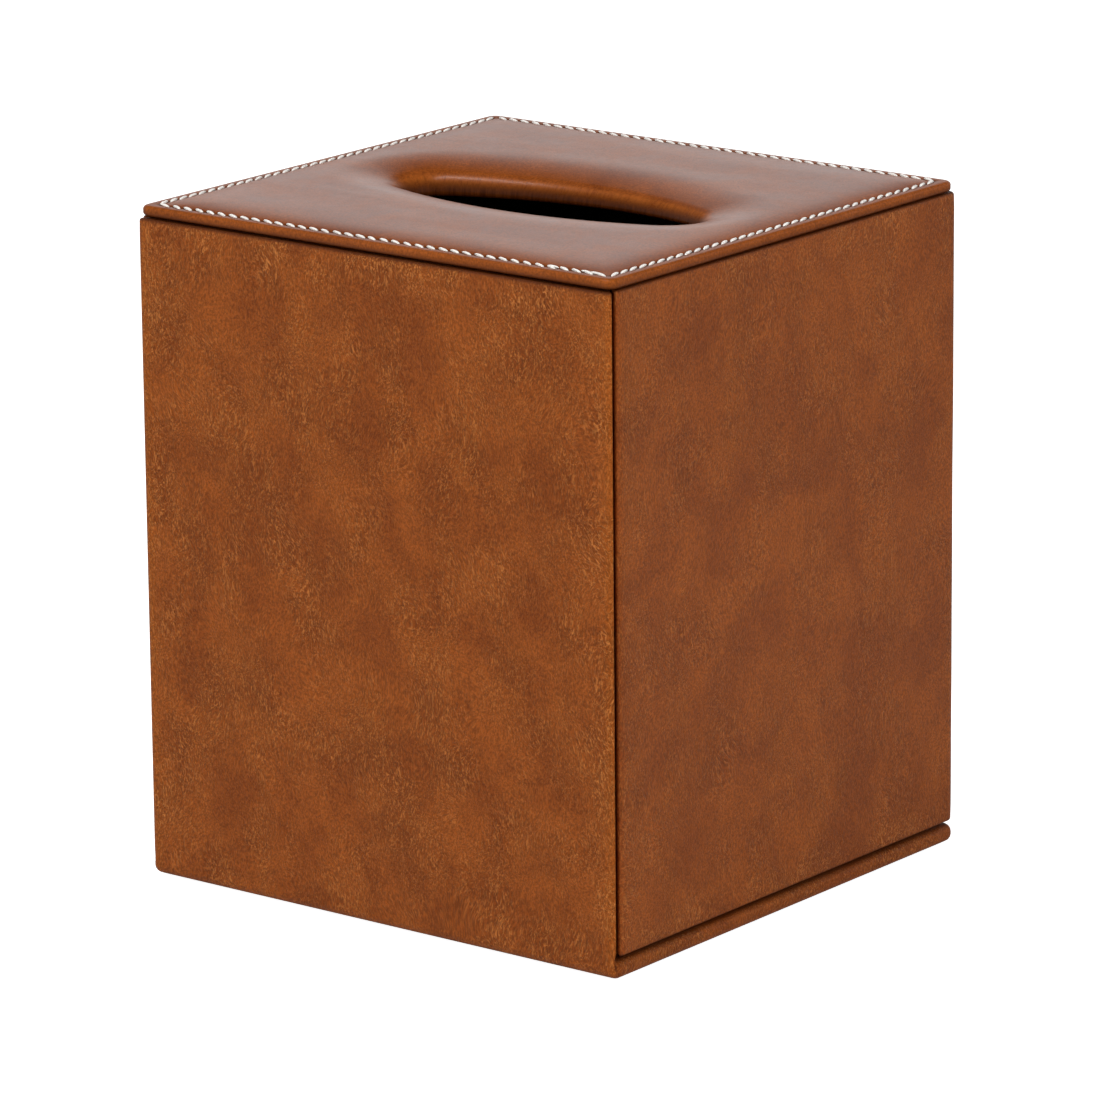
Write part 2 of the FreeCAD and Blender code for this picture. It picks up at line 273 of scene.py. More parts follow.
def makeHideGroup():
    # broad clouds, fine upright creases that wander and gather in clusters, and a grain
    tree, at = newGroup("hide", ("Cloud", "Crease", "Grain", "Height", "Gloss"))
    cloud = noiseNode(tree, at, *hide["cloud"])
    soft = noiseNode(tree, at, *hide["soft"])
    bent = bendNode(tree, at, hide["sway"], hide["swayReach"])
    wavy = noiseNode(tree, stretchNode(tree, bent, hide["wavyStretch"]), *hide["wavy"])
    ridge = mathNode(tree, "ABSOLUTE", minus(tree, wavy, 0.5))
    line = rangeNode(tree, ridge, 0.0, hide["creaseWidth"], 1.0, 0.0)
    moved = stretchNode(tree, at, hide["clusterStretch"], hide["clusterMove"])
    cluster = rangeNode(tree, noiseNode(tree, moved, *hide["cluster"]), *hide["clusterRange"])
    crease = times(tree, line, cluster)
    grain = noiseNode(tree, stretchNode(tree, bent, hide["grainStretch"]), *hide["grain"])
    height = weighted(tree, (grain, hide["grainHeight"]), (crease, hide["creaseHeight"]),
                      (soft, hide["softHeight"]))
    gloss = weighted(tree, (soft, hide["softGloss"]), (cloud, hide["cloudGloss"]))
    fill(tree, tree.nodes.new("NodeGroupOutput"),
         {"Cloud": cloud, "Crease": crease, "Grain": grain, "Height": height, "Gloss": gloss})
    return tree


nap = {
    "patch": (90.0, 2.0, 0.5, 0.8), "patchShare": 0.6, "fibre": (3200.0, 1.0, 0.6), "fibreShare": 0.4,
    "rough": 0.95, "specular": 0.2, "sheen": 0.25, "sheenRough": 0.4, "bump": 0.0002,
}


def makePileGroup():
    # velour and felt: short fibres that lie in patches
    tree, at = newGroup("pile", ("Shade", "Height"))
    patch = noiseNode(tree, at, *nap["patch"])
    fibre = noiseNode(tree, at, *nap["fibre"])
    shade = weighted(tree, (patch, nap["patchShare"]), (fibre, nap["fibreShare"]))
    fill(tree, tree.nodes.new("NodeGroupOutput"), {"Shade": shade, "Height": fibre})
    return tree


hideGroup = makeHideGroup()
pileGroup = makePileGroup()


def newMaterial(name):
    mat = bpy.data.materials.new(name)
    mat.use_nodes = True
    tree = mat.node_tree
    return mat, tree, tree.nodes["Principled BSDF"], addNode(tree, "TexCoord").outputs["Object"]


def readAttribute(tree, name, kind):
    return addNode(tree, "Attribute", attribute_name=name).outputs[kind]


def mixColour(tree, factor, first, second, blend="MIX"):
    inputs = {0: factor, 6: first, 7: second}
    return addNode(tree, "Mix", inputs, data_type="RGBA", blend_type=blend).outputs[2]


def addBump(tree, shader, height, depth):
    bump = addNode(tree, "Bump", {"Height": height, "Distance": depth}).outputs[0]
    tree.links.new(bump, shader.inputs["Normal"])


leather = {
    "deep": (0.170, 0.0375, 0.0046), "tan": (0.240, 0.0580, 0.0078), "rubbed": (0.415, 0.138, 0.030),
    # groove: the colour of the painted shade that darkens the leather towards the grooves between the parts
    "groove": (0.050, 0.010, 0.0020),
    "grooveTint": 0.82, "seamTint": 0.40, "edgeRough": 0.12,
    "grainRange": (0.32, 0.68), "glossRange": (0.35, 0.65),
}

hides = {
    # cloud: where deep turns to tan; creases: their strength on the face and at a gathered hem;
    # grain: its strength; seam: the tone there; bump: its depth in metres; rough: from and to
    "frontLeather": {"cloud": (0.34, 0.66), "creases": (0.74, 1.19), "grain": 0.30, "bump": 0.00014,
                     "seam": (0.290, 0.072, 0.0070), "rough": (0.38, 0.43), "specular": 0.10},
    "wallLeather": {"cloud": (0.28, 0.72), "creases": (0.42, 0.87), "grain": 0.29, "bump": 0.00011,
                    "seam": (0.205, 0.036, 0.0060), "rough": (0.40, 0.44), "specular": 0.14},
    "lidLeather": {"cloud": (0.28, 0.72), "creases": (0.0, 0.0), "grain": 0.26, "bump": 0.000008,
                   "seam": (0.270, 0.068, 0.0090), "rough": (0.30, 0.36), "specular": 0.04},
}

lidFinish = {
    # turned is the roll's own paler leather; the tone after it is painted shade that darkens the lower roll,
    # broken by streaks; hole is painted shade in the stitch row and its needle holes
    "turned": (0.330, 0.088, 0.0120), "lowerRollShade": (0.030, 0.0056, 0.0010), "hole": (0.012, 0.004, 0.0015),
    "streaks": (1000.0, 3.0, 0.7, 0.5), "streakHeight": 2.6,
    "turnedRange": (0.0, 0.3, 0.0, 0.6), "turnedStreaks": (0.38, 0.62, 0.25, 1.0),
    "lowerRollShadeRange": (0.30, 1.0), "lowerRollShadeStreaks": (0.3, 0.7, 0.80, 1.0),
    "stitchShadeShare": 0.9, "rollSmooth": 0.06,
    "coat": (0.60, 0.05), "coatRough": 0.27, "coatIor": 1.32,  # coat: on the top and down the roll
    "sweep": (62.0, 3.0, 0.6, 0.5), "sweepStretch": (0.4, 1.7, 1.0), "sweepRange": (0.32, 0.68, 0.78, 1.0),
    "seamDull": 0.35,
}


def finishLid(tree, shader, at, edge, colour, rough):
    # what only the lid has: a pale turn, painted shade that darkens the lower roll in streaks, painted shade
    # in the stitch row and needle holes, and a polish
    look, roll = lidFinish, edge["Z"]
    streaks = noiseNode(tree, readAttribute(tree, "strand", "Vector"), *look["streaks"])
    # the pale turn, then painted shade darkening the lower roll; both broken by streaks
    for name in ("turned", "lowerRollShade"):
        tint = rangeNode(tree, roll, *look[name + "Range"])
        tint = times(tree, tint, rangeNode(tree, streaks, *look[name + "Streaks"]))
        colour = mixColour(tree, tint, colour, look[name])
    # painted shade along the stitch row and in its needle holes
    rowShade = times(tree, readAttribute(tree, "stitchShade", "Fac"), look["stitchShadeShare"])
    colour = mixColour(tree, rowShade, colour, look["hole"])
    rough = minus(tree, rough, times(tree, roll, look["rollSmooth"]))
    shine = rangeNode(tree, readAttribute(tree, "dull", "Fac"), 0.0, 1.0, *look["coat"])
    sweep = noiseNode(tree, stretchNode(tree, at, look["sweepStretch"]), *look["sweep"])
    sweep = rangeNode(tree, sweep, *look["sweepRange"])
    sweep = minus(tree, sweep, times(tree, edge["Y"], look["seamDull"]))
    fill(tree, shader, {"Coat Weight": times(tree, shine, sweep), "Coat Roughness": look["coatRough"],
                        "Coat IOR": look["coatIor"]})
    return colour, rough, times(tree, times(tree, streaks, roll), look["streakHeight"])


def makeLeather(name):
    look = hides[name]
    mat, tree, shader, at = newMaterial(name)
    parts = addNode(tree, "Group", {"Vector": at}, node_tree=hideGroup).outputs
    # how near a groove (whose nearness paints shade into the colour), a seam, and the slot's roll or a
    # gathered hem
    edge = splitNode(tree, readAttribute(tree, "edge", "Vector"))
    clouds = rangeNode(tree, parts["Cloud"], *look["cloud"])
    colour = mixColour(tree, clouds, leather["deep"], leather["tan"])
    colour = mixColour(tree, times(tree, edge["Y"], leather["seamTint"]), colour, look["seam"])
    creases = rangeNode(tree, edge["Z"], 0.0, 1.0, *look["creases"])
    colour = mixColour(tree, times(tree, parts["Crease"], creases), colour, leather["rubbed"])
    grain = rangeNode(tree, parts["Grain"], *leather["grainRange"], 1.0 - look["grain"], 1.0 + look["grain"])
    colour = mixColour(tree, 1.0, colour, grain, "MULTIPLY")
    # painted shade: the colour darkens towards the grooves between lid, walls and base, and in the drawer's
    # corner slit
    colour = mixColour(tree, times(tree, edge["X"], leather["grooveTint"]), colour, leather["groove"])
    rough = rangeNode(tree, parts["Gloss"], *leather["glossRange"], *look["rough"])
    height = parts["Height"]
    if name == "lidLeather":
        colour, rough, streaks = finishLid(tree, shader, at, edge, colour, rough)
        height = plus(tree, parts["Gloss"], streaks)
    atEdge = times(tree, plus(tree, edge["X"], edge["Y"]), leather["edgeRough"])
    fill(tree, shader, {"Base Color": colour, "Roughness": plus(tree, rough, atEdge),
                        "Specular IOR Level": look["specular"]})
    addBump(tree, shader, height, look["bump"])
    return mat


piles = {
    "velour": ((0.0100, 0.0120, 0.0104), (0.0300, 0.0340, 0.0300)),
    "flock": ((0.0040, 0.0042, 0.0040), (0.0140, 0.0145, 0.0135)),
    "felt": ((0.010, 0.009, 0.008), (0.030, 0.027, 0.024)),
}


def makePile(name, dark, light):
    mat, tree, shader, at = newMaterial(name)
    pile = addNode(tree, "Group", {"Vector": at}, node_tree=pileGroup).outputs
    fill(tree, shader, {"Base Color": mixColour(tree, pile["Shade"], dark, light),
                        "Roughness": nap["rough"], "Specular IOR Level": nap["specular"],
                        "Sheen Weight": nap["sheen"], "Sheen Roughness": nap["sheenRough"]})
    addBump(tree, shader, pile["Height"], nap["bump"])
    return mat


boards = {
    "fibreboard": ((0.20, 0.13, 0.075), (0.42, 0.31, 0.19)),
    "foam": ((0.62, 0.58, 0.46), (0.80, 0.77, 0.66)),
}
board = {"fibres": (900.0, 3.0, 0.7), "rough": 0.85, "bump": 0.0001}


def makeBoardLook(name, dark, light):
    mat, tree, shader, at = newMaterial(name)
    fibres = noiseNode(tree, at, *board["fibres"])
    fill(tree, shader, {"Base Color": mixColour(tree, fibres, dark, light), "Roughness": board["rough"]})
    addBump(tree, shader, fibres, board["bump"])
    return mat


metal = {"metal": 1.0, "streaks": (500.0, 2.0, 0.6), "stretch": (1.0, 1.0, 12.0)}
streaked = {
    # tones, roughness and the streaks that run the way each was worked
    "nickel": {"dark": (0.527, 0.5185, 0.493), "light": (0.62, 0.61, 0.58), "rough": (0.16, 0.28), **metal},
    "steel": {"dark": (0.425, 0.425, 0.425), "light": (0.50, 0.50, 0.50), "rough": (0.30, 0.42), **metal},
    "nylon": {"dark": (0.010, 0.010, 0.010), "light": (0.026, 0.026, 0.026), "rough": (0.34, 0.5),
              "metal": 0.0, "streaks": (1200.0, 2.0, 0.6), "stretch": (1.0, 0.06, 1.0)},
}
streaks = {"range": (0.3, 0.7), "bump": 0.00002}


def makeStreaked(name):
    look = streaked[name]
    mat, tree, shader, at = newMaterial(name)
    streak = noiseNode(tree, stretchNode(tree, at, look["stretch"]), *look["streaks"])
    rough = rangeNode(tree, streak, *streaks["range"], *look["rough"])
    fill(tree, shader, {"Base Color": mixColour(tree, streak, look["dark"], look["light"]),
                        "Roughness": rough, "Metallic": look["metal"]})
    addBump(tree, shader, streak, streaks["bump"])
    return mat


thread = {
    # dark: the tone of the painted shade between the plies and of the fuzz; light: the thread's own white
    "dark": (0.86, 0.80, 0.73), "light": (0.99, 0.975, 0.95), "rough": 0.7, "specular": 0.3,
    "plies": 2, "twist": 1.15,  # turns in a millimetre
    "strandRange": (-1.0, 0.6), "fuzz": (2600.0, 2.0, 0.6), "fuzzLift": 0.4, "fuzzHeight": 0.5,
    "bump": 0.00008,
}


def makeThread(name):
    # plies that wind round each other: painted shade in the grooves between them, and a fuzz of random tone
    mat, tree, shader, at = newMaterial(name)
    ply = splitNode(tree, readAttribute(tree, "ply", "Vector"))  # along the thread and round it
    wind = plus(tree, times(tree, ply["X"], thread["twist"]), ply["Y"])
    wave = mathNode(tree, "SINE", times(tree, wind, math.tau * thread["plies"]))
    strand = rangeNode(tree, wave, *thread["strandRange"])
    fuzz = noiseNode(tree, at, *thread["fuzz"])
    shade = times(tree, strand, mathNode(tree, "ADD", fuzz, thread["fuzzLift"], clamp=True))
    fill(tree, shader, {"Base Color": mixColour(tree, shade, thread["dark"], thread["light"]),
                        "Roughness": thread["rough"], "Specular IOR Level": thread["specular"]})
    addBump(tree, shader, plus(tree, strand, times(tree, fuzz, thread["fuzzHeight"])), thread["bump"])
    return mat


looks = {"thread": makeThread("thread")}
looks.update((name, makeLeather(name)) for name in hides)
looks.update((name, makePile(name, *tones)) for name, tones in piles.items())
looks.update((name, makeBoardLook(name, *tones)) for name, tones in boards.items())
looks.update((name, makeStreaked(name)) for name in streaked)

nodeLooks = {
    "fibreboard": ("lid_board", "lid_step_board", "right_wall_board", "left_wall_board", "back_wall_board",
                   "drawer_front_board", "base_board"),
    "velour": ("lid_lining", "right_wall_lining", "left_wall_lining", "back_wall_lining",
               "drawer_front_lining", "tray_floor_lining"),
    "flock": ("right_magnet_block", "left_magnet_block", "right_tray_side", "left_tray_side", "tray_back"),
    "lidLeather": ("lid_cover",), "wallLeather": ("wall_cover",), "frontLeather": ("drawer_cover",),
    "foam": ("lid_padding",), "nylon": ("right_runner", "left_runner"), "nickel": ("catch_magnets",),
    "steel": ("strike_plates",), "felt": ("base_felt",),
}

for look, names in nodeLooks.items():
    for name in names:
        nodes[name].data.materials.clear()
        nodes[name].data.materials.append(looks[look])
print("materials are on", sum(map(len, nodeLooks.values())), "nodes")


lid = {
    # millimetres, measured on the leather; angles in degrees
    "halfX": 64.45, "halfY": 61.95, "rimTop": 152.15, "rimBottom": 149.85, "thickness": 0.6,
    "cornerEdge": 2.2, "cornerRow": 0.5, "cornerPad": 6.0, "cornerGrowth": 0.9, "cornerSteps": 4,
    "topRound": 0.85, "topSteps": 5, "bottomRound": 0.75, "bottomSteps": 4, "hemInsets": (3.9, 2.7, 1.7),
    "edgeInsets": (1.3, 1.75, 2.2), "rowOffsets": (-0.45, -0.22, 0.0, 0.22, 0.5),
    "padInsets": (4.1, 4.9, 6.0), "spanSteps": 16, "weld": 0.02,
    # the stitched row, the dents it leaves, the needle holes, and the shade painted along the row and into
    # the holes
    "stitchesX": 38, "stitchesY": 37, "stepsPerStitch": 4,
    "row": 2.95, "rowDip": 0.14, "rowWidth": 0.55, "holeDip": 0.12, "holeWidth": 0.35,
    "stitchShade": 0.55, "holeShadeExtra": 0.45, "stitchShadeWidth": 0.45,
    # the padding, and where its faint waves die away
    "padStart": 3.3, "padRise": 1.25, "padEase": 7.0, "padBlend": 5.0, "dipReach": 13.0, "dipBlend": 0.5,
    "ripple": 0.026, "rippleSize": 19.0, "fineShare": 0.35, "fineSize": 0.42, "fineShift": (31.0, -17.0, 5.0),
    "rimCalm": 6.0, "slotCalm": (4.0, 8.0),
    # the slot, the roll down into it and the lip
    "slotX": 39.6, "slotY": 13.4, "slotEnd": 7.6,
    "rollRadius": 4.7, "rollCentre": 146.6, "rollSlope": 15.0, "rollEnd": 82.0, "rollSteps": 11,
    "lipBottom": 146.8, "lipRound": 0.6, "lipOut": 0.05, "lipStart": 8.0, "lipSteps": 4,
    "lipInsets": (2.2, 5.0, 8.0), "lipLean": (-0.25, 0.75), "leanReach": 36.0,
    # how the attributes run that tint the leather, paint shade towards its groove and on its lower roll, and
    # dull its polish
    "groove": (0.75, 0.15), "turn": 0.50, "turnEnd": 0.1, "rimDull": 0.72, "rimDullReach": 6.0,
    "strandOut": 4.0, "strandLength": 0.12,
}

corners = ((1, 1), (-1, 1), (-1, -1), (1, -1))
sidesOut = ((1, 0), (0, 1), (-1, 0), (0, -1))  # a side runs to its corner from the one before


def unit(value):
    return min(max(value, 0.0), 1.0)


def ramp(distance, start, reach):
    return unit((distance - start) / reach)


def fade(distance, reach, start=0.0):
    return math.exp(-(max(distance - start, 0.0) / reach) ** 2)


def softMin(a, b, blend):
    near = max(blend - abs(a - b), 0.0) / blend
    return min(a, b) - near * near * blend / 4


def ovalSpan():
    # radius and centre of the slot's two long arcs, and the x where they meet the end arcs
    endX = lid["slotX"] - lid["slotEnd"]
    radius = (endX ** 2 + lid["slotY"] ** 2 - lid["slotEnd"] ** 2) / (2 * (lid["slotY"] - lid["slotEnd"]))
    return radius, radius - lid["slotY"], endX


def slotDistance(x, y):
    # how far a point lies outside the slot's throat
    radius, drop, endX = ovalSpan()
    x, y = abs(x), abs(y)
    if x * drop > endX * (y + drop) and x > endX:
        return math.hypot(x - endX, y) - lid["slotEnd"]
    return math.hypot(x, y + drop) - radius


def slotPoint(share, outset):
    # the point that lies so far outside the slot, by the share of the way round it from its +X tip
    radius, drop, endX = ovalSpan()
    turn = math.atan2(drop, endX)  # direction of the end arc's last point
    endLength = turn * lid["slotEnd"]
    sideLength = (math.pi / 2 - turn) * radius
    quarter, along = divmod(share * 4, 1.0)
    if int(quarter) % 2 == 1:
        along = 1.0 - along
    run = along * (endLength + sideLength)
    if run < endLength:
        angle = run / lid["slotEnd"]
        centre, size = (endX, 0.0), lid["slotEnd"]
    else:
        angle = turn + (run - endLength) / radius
        centre, size = (0.0, -drop), radius
    dx, dy = math.cos(angle), math.sin(angle)
    x, y = centre[0] + dx * (size + outset), centre[1] + dy * (size + outset)
    signX, signY = corners[int(quarter) % 4]
    return signX * x, signY * y


def stitchCount(side):
    return lid["stitchesX"] if side % 2 else lid["stitchesY"]


def rimStations():
    # what each step round the lid is: (side, share along it) or (corner, share round it)
    stations = []
    for side in range(4):
        steps = stitchCount(side) * lid["stepsPerStitch"]
        stations += [("side", side, k / steps) for k in range(steps)]
        stations += [("corner", side, k / lid["cornerSteps"]) for k in range(lid["cornerSteps"])]
    return stations


def rimPoint(station, inset):
    # a point on the rounded rectangle that lies that far inside the lid's edge
    kind, side, share = station
    if inset < lid["row"]:
        corner = lid["cornerEdge"] + (lid["cornerRow"] - lid["cornerEdge"]) * inset / lid["row"]
    else:
        corner = lid["cornerRow"] + min((inset - lid["row"]) * lid["cornerGrowth"], lid["cornerPad"])
    x, y = lid["halfX"] - inset - corner, lid["halfY"] - inset - corner
    if kind == "side":
        out = sidesOut[side]
        a, b = [Vector((signX * x + out[0] * corner, signY * y + out[1] * corner))
                for signX, signY in (corners[side - 1], corners[side])]
        return tuple(a.lerp(b, share))
    angle = (side + share) * math.pi / 2
    return corners[side][0] * x + corner * math.cos(angle), corners[side][1] * y + corner * math.sin(angle)


def slotShares(stations):
    # matches every station on the rim with a share of the way round the slot
    points = [Vector(rimPoint(station, lid["row"])) for station in stations]
    count = len(points)
    start = next(k for k, point in enumerate(points) if point.y >= 0)
    lengths = [(points[(k + 1) % count] - points[k]).length for k in range(count)]
    total = sum(lengths)
    shares, run = [0.0] * count, 0.0
    for k in range(count):
        at = (start + k) % count
        shares[at] = ((run + points[start].y) / total) % 1.0
        run += lengths[at]
    return shares


def rollPoint(angle):
    # outset and height of a point of the roll, by how far the skin has turned down there
    radius = lid["rollRadius"]
    return radius * (1 - math.sin(angle)), lid["rollCentre"] + radius * math.cos(angle)


rollStart = math.radians(lid["rollSlope"])
crestOut, crestHeight = rollPoint(rollStart)


def slotHeight(out):
    run = min(max(out - crestOut, 0.0), lid["dipReach"])
    return crestHeight + math.tan(rollStart) * run * (1 - run / (2 * lid["dipReach"]))


def padHeight(x, y):
    edge = softMin(lid["halfX"] - abs(x), lid["halfY"] - abs(y), lid["padBlend"])
    if edge <= lid["padStart"]:
        return lid["rimTop"]
    return lid["rimTop"] + lid["padRise"] * (1 - math.exp(-(edge - lid["padStart"]) / lid["padEase"]))


def ripple(x, y):
    shiftX, shiftY, shiftZ = lid["fineShift"]
    at = Vector((x, y, 0.0)) / lid["rippleSize"]
    fine = Vector((x + shiftX, y + shiftY, shiftZ)) / (lid["rippleSize"] * lid["fineSize"])
    return lid["ripple"] * (noise.noise(at) + lid["fineShare"] * noise.noise(fine))


def lidHeight(x, y):
    out = slotDistance(x, y)
    height = softMin(padHeight(x, y), slotHeight(out), lid["dipBlend"])
    edge = min(lid["halfX"] - abs(x), lid["halfY"] - abs(y))
    calm = ramp(edge, lid["padStart"], lid["rimCalm"]) * ramp(out, *lid["slotCalm"])
    return height + ripple(x, y) * calm


def quarterRound(radius, count):
    return [(radius * (1 - math.cos(a)), radius * (1 - math.sin(a)))
            for a in (math.pi / 2 * k / count for k in range(count + 1))]


def lidRows():
    # the skin's profile, from the hem under the rim over the top to the hem under the slot
    rows = [("rim", inset, lid["rimBottom"]) for inset in lid["hemInsets"]]
    for across, down in reversed(quarterRound(lid["bottomRound"], lid["bottomSteps"])):
        rows.append(("rim", across, lid["rimBottom"] + down))
    for across, down in quarterRound(lid["topRound"], lid["topSteps"]):
        rows.append(("rim", across, lid["rimTop"] - down))
    insets = [*lid["edgeInsets"], *(lid["row"] + k for k in lid["rowOffsets"]), *lid["padInsets"]]
    rows += [("top", inset, None) for inset in insets]
    rows += [("span", k / lid["spanSteps"], None) for k in range(1, lid["spanSteps"])]
    turn = math.radians(lid["rollEnd"]) - rollStart
    for k in range(lid["rollSteps"] + 1):
        rows.append(("slot", *rollPoint(rollStart + turn * k / lid["rollSteps"])))
    lip = lid["lipRound"]
    for k in range(1, lid["lipSteps"] + 1):
        angle = math.radians(lid["lipStart"] + (90 - lid["lipStart"]) * k / lid["lipSteps"])
        out, rise = lip * (1 - math.cos(angle)), lip * (1 - math.sin(angle))
        rows.append(("slot", lid["lipOut"] + out, lid["lipBottom"] + rise))
    return rows + [("hem", out, lid["lipBottom"]) for out in lid["lipInsets"]]


def lidPoint(station, share, row, hole):
    kind, value, z = row
    if kind == "hem":
        return (*slotPoint(share, value), z)
    if kind == "slot":
        x, y = slotPoint(share, value)
        crest = lid["rollCentre"] + lid["rollRadius"]
        low, high = lid["lipLean"]
        lean = low + high * min(max(x / lid["leanReach"], -1.0), 1.0)
        return x, y, z + lean * (crest - z) / (crest - lid["lipBottom"])
    if kind == "rim":
        return (*rimPoint(station, value), z)
    if kind == "top":
        x, y = rimPoint(station, value)
        off = abs(value - lid["row"])
        dip = lid["rowDip"] * math.exp(-(off / lid["rowWidth"]) ** 2)
        return x, y, lidHeight(x, y) - dip - lid["holeDip"] * hole * math.exp(-(off / lid["holeWidth"]) ** 2)
    outer = Vector(rimPoint(station, lid["padInsets"][-1]))
    inner = Vector(slotPoint(share, crestOut))
    x, y = outer.lerp(inner, value)
    return x, y, lidHeight(x, y)


def turnedShare(kind, out, z):
    # from 0 on the roll's crest to 1 at the lip and under it
    if kind == "hem" or z <= lid["lipBottom"] + lid["turnEnd"]:
        return 1.0
    return unit(1.0 - out / (lid["rollRadius"] * lid["turn"]))


def gridOf(columns, rows, numbers=(), vectors=()):
    # a flat grid whose vertices are handed back with their column and row
    bm = bmesh.new()
    for name in numbers:
        bm.verts.layers.float.new(name)
    for name in vectors:
        bm.verts.layers.float_vector.new(name)
    bmesh.ops.create_grid(bm, x_segments=columns, y_segments=rows - 1, size=0.5)
    placed = [(v, round((v.co.x + 0.5) * columns), round((v.co.y + 0.5) * (rows - 1))) for v in bm.verts]
    return bm, placed


def thicken(piece, thickness):
    solid = piece.modifiers.new("thickness", "SOLIDIFY")
    solid.thickness, solid.offset = thickness * mm, -1.0


def buildLidLeather():
    stations = rimStations()
    shares = slotShares(stations)
    rows = lidRows()
    bm, placed = gridOf(len(stations), len(rows), ("stitchShade", "dull"), ("strand", "edge"))
    stitchShade, dull = [bm.verts.layers.float[name] for name in ("stitchShade", "dull")]
    strand, edge = [bm.verts.layers.float_vector[name] for name in ("strand", "edge")]
    for vert, column, row in placed:
        station, share = stations[column % len(stations)], shares[column % len(stations)]
        step = round(station[2] * stitchCount(station[1]) * lid["stepsPerStitch"])
        hole = 1.0 if station[0] == "side" and step % lid["stepsPerStitch"] == 0 else 0.0
        kind, value, z = rows[row]
        vert.co = Vector(lidPoint(station, share, rows[row], hole)) * mm
        x, y = vert.co.x / mm, vert.co.y / mm
        if kind == "top":
            # painted shade along the stitch row, deeper at the needle holes
            near = math.exp(-((value - lid["row"]) / lid["stitchShadeWidth"]) ** 2)
            vert[stitchShade] = near * (lid["stitchShade"] + lid["holeShadeExtra"] * hole)
        if kind == "rim":
            # painted shade: the rim band darkens towards the groove under it
            vert[edge] = Vector((fade(z - lid["rimBottom"], *lid["groove"]), 1.0, 0.0))
        elif kind in ("slot", "hem"):
            vert[dull] = turned = turnedShare(kind, value, z)
            vert[edge] = Vector((0.0, 0.0, turned))
        else:
            inside = min(lid["halfX"] - abs(x), lid["halfY"] - abs(y)) - lid["row"]
            vert[dull] = lid["rimDull"] * fade(inside, lid["rimDullReach"])
        foot = slotPoint(share, lid["strandOut"])
        vert[strand] = Vector((foot[0], foot[1], slotDistance(x, y) * lid["strandLength"])) * mm
    bmesh.ops.remove_doubles(bm, verts=bm.verts, dist=lid["weld"] * mm)
    skin = putMesh("lid_leather", bm)
    thicken(skin, lid["thickness"])
    skin.data.materials.append(looks["lidLeather"])
    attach(skin, "shell")
    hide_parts("lid_cover")


foam = {
    "steps": 6,  # columns of the leather to one of the foam
    "clear": 0.05, "edge": 4.7, "holeMargin": 12.0, "stepMargin": 2.6,
    "boardTop": 151.9, "stepTop": 150.1, "stepBottom": 147.4,
    "spanSteps": 12, "flatSteps": 2, "rollSteps": 6, "rollEnd": 80.0, "weld": 0.001,
}


def foamColumn(station, share):
    under = lid["thickness"] + foam["clear"]
    radius = lid["rollRadius"] - under
    outer, inner = Vector(rimPoint(station, foam["edge"])), Vector(slotPoint(share, crestOut))
    column = [(*outer, foam["boardTop"])]
    for k in range(foam["spanSteps"] + 1):
        x, y = outer.lerp(inner, k / foam["spanSteps"])
        lowest = foam["boardTop"] if k < foam["flatSteps"] else 0.0
        column.append((x, y, max(lidHeight(x, y) - under, lowest)))
    for k in range(1, foam["rollSteps"] + 1):
        turn = (foam["rollEnd"] - lid["rollSlope"]) * k / foam["rollSteps"]
        angle = math.radians(lid["rollSlope"] + turn)
        column.append((*slotPoint(share, lid["rollRadius"] - radius * math.sin(angle)),
                       lid["rollCentre"] + radius * math.cos(angle)))
    step, hole = slotPoint(share, foam["stepMargin"]), slotPoint(share, foam["holeMargin"])
    column += [(*step, foam["stepBottom"]), (*step, foam["stepTop"])]
    column += [(*hole, foam["stepTop"]), (*hole, foam["boardTop"])]
    return column + column[:1]


def buildFoam():
    # fills what is left between the skin and the two boards
    stations = rimStations()
    pairs = list(zip(stations, slotShares(stations)))[::foam["steps"]]
    columns = [foamColumn(station, share) for station, share in pairs]
    bm, placed = gridOf(len(columns), len(columns[0]))
    for vert, column, row in placed:
        vert.co = Vector(columns[column % len(columns)][row]) * mm
    bmesh.ops.remove_doubles(bm, verts=bm.verts, dist=foam["weld"] * mm)
    pad = putMesh("lid_foam", bm)
    pad.data.materials.append(looks["foam"])
    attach(pad, "shell")
    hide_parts("lid_padding")


stitching = {
    # millimetres
    "length": 3.75, "width": 0.92, "tall": 0.66, "lift": 0.20, "sink": 0.12, "sinkPower": 0.7,
    "around": 6, "along": 9, "crowding": 0.06, "tip": 0.24,
    "slant": (-0.34, -0.48),  # sideways drift for each unit along the row, on the Y and X sides
    # how much the stitches differ
    "seed": 7, "leans": (0.85, 1.15), "moves": (-0.06, 0.06), "lifts": (-0.03, 0.03), "widths": (0.93, 1.07),
    # extra stitches of the doubled thread: x, distance inside the row, slant
    "doubles": ((57.6, 0.42, 0.05), (55.2, 0.50, -0.20), (46.6, 0.45, -0.10)),
    "doubleReach": 0.42, "doubleWidth": 0.8, "doubleLift": 0.05,
}


def addStitch(bm, ply, a, b, rise, width):
    # one stitch: a lens of thread that dives into the leather at both ends
    along = (b - a).normalized()
    side = Vector((-along.y, along.x, 0.0))
    ball = bmesh.ops.create_uvsphere(bm, u_segments=stitching["around"], v_segments=stitching["along"],
                                     radius=1.0)
    for vert in ball["verts"]:
        angle = math.atan2(vert.co.y, vert.co.x)
        pole = abs(vert.co.z) > 1.0 - close["face"]
        t = (vert.co.z + 1) / 2
        t += stitching["crowding"] * math.sin(2 * math.pi * t)
        bow = max(math.sin(math.pi * t), 0.0)
        full = 0.0 if pole else stitching["tip"] + (1.0 - stitching["tip"]) * bow ** 0.5
        sink = stitching["sink"] * (bow ** stitching["sinkPower"] - 1.0)
        lift = Vector((0, 0, math.sin(angle) * stitching["tall"] / 2))
        across = side * math.cos(angle) * width / 2 + lift
        vert.co = (a.lerp(b, t) + Vector((0, 0, rise + sink)) + across * full) * mm
        vert[ply] = Vector((t * (b - a).length, angle / (2 * math.pi), 0.0))


